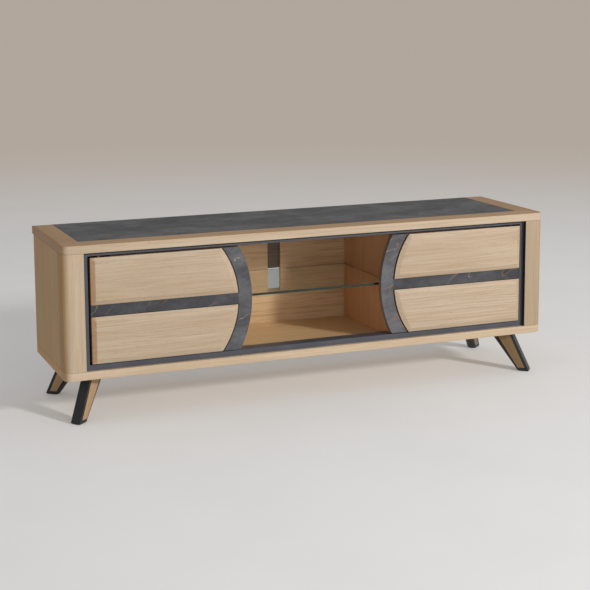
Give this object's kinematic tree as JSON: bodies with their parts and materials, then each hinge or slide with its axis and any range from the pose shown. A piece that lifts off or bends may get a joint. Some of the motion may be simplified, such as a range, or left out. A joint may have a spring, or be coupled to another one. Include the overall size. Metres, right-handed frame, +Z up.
{
  "type": "television cabinet",
  "caption": "Low oak television cabinet with a ceramic-inlaid top, a dark metal front frame, doors with bowed ceramic edges beside an open niche with a glass shelf, and splayed legs.",
  "frame": {"origin": "on the floor, at the middle of the whole cabinet's width and depth", "axes": "+X towards the right-hand side seen from the front, +Y towards the back, +Z up; the doors and the niche face -Y"},
  "size_m": [1.78, 0.46, 0.595],
  "materials": {
    "oak": "pale oak, matt oiled",
    "oak_dark": "dark stained oak, matt",
    "ceramic": "slate-grey ceramic with faint rust and cream veins, satin",
    "anthracite_metal": "anthracite metallic, satin",
    "black_metal": "black powder coat",
    "steel": "brushed",
    "bronze": "sintered bronze",
    "black_plastic": "matt",
    "glass": "clear, polished edges, green tint"
  },
  "bodies": {
    "case": {"top_board": "oak", "top_ceramic_inlay": "ceramic", "bottom_board": "oak", "niche_back_panel": "oak", "rear_brace": "oak_dark", "metal_frame": "anthracite_metal", "glass_shelf": "glass", "left_side_panel": "oak", "left_partition": "oak", "left_rear_cover": "oak", "left_cupboard_shelf": "oak", "left_shelf_cleat_outer": "oak", "left_shelf_cleat_inner": "oak", "left_magnetic_catch": "black_plastic", "left_glass_pin_front": "steel", "left_glass_pin_rear": "steel", "left_upper_pivot_bush": "bronze", "left_lower_pivot_bush": "bronze", "front_left_leg": "oak", "front_left_leg_bracket": "black_metal", "front_left_leg_mount_plate": "black_metal", "front_left_leg_glide": "black_plastic", "rear_left_leg": "oak", "rear_left_leg_bracket": "black_metal", "rear_left_leg_mount_plate": "black_metal", "rear_left_leg_glide": "black_plastic", "right_side_panel": "oak", "right_partition": "oak", "right_rear_cover": "oak", "right_cupboard_shelf": "oak", "right_shelf_cleat_outer": "oak", "right_shelf_cleat_inner": "oak", "right_magnetic_catch": "black_plastic", "right_glass_pin_front": "steel", "right_glass_pin_rear": "steel", "right_upper_pivot_bush": "bronze", "right_lower_pivot_bush": "bronze", "front_right_leg": "oak", "front_right_leg_bracket": "black_metal", "front_right_leg_mount_plate": "black_metal", "front_right_leg_glide": "black_plastic", "rear_right_leg": "oak", "rear_right_leg_bracket": "black_metal", "rear_right_leg_mount_plate": "black_metal", "rear_right_leg_glide": "black_plastic"},
    "left_door": {"left_door_board": "oak", "left_door_upper_panel": "oak", "left_door_lower_panel": "oak", "left_door_ceramic": "ceramic", "left_door_strike_plate": "steel", "left_upper_pivot_strap": "steel", "left_lower_pivot_strap": "steel"},
    "right_door": {"right_door_board": "oak", "right_door_upper_panel": "oak", "right_door_lower_panel": "oak", "right_door_ceramic": "ceramic", "right_door_strike_plate": "steel", "right_upper_pivot_strap": "steel", "right_lower_pivot_strap": "steel"}
  },
  "joints": [
    {"name": "left_door_hinge", "type": "hinge", "parent": "case", "child": "left_door", "pos_m": [-0.7657, -0.208, 0.375], "axis": [0, 0, 1], "range_deg": [-95, 0]},
    {"name": "right_door_hinge", "type": "hinge", "parent": "case", "child": "right_door", "pos_m": [0.7657, -0.208, 0.375], "axis": [0, 0, 1], "range_deg": [0, 95]}
  ]
}
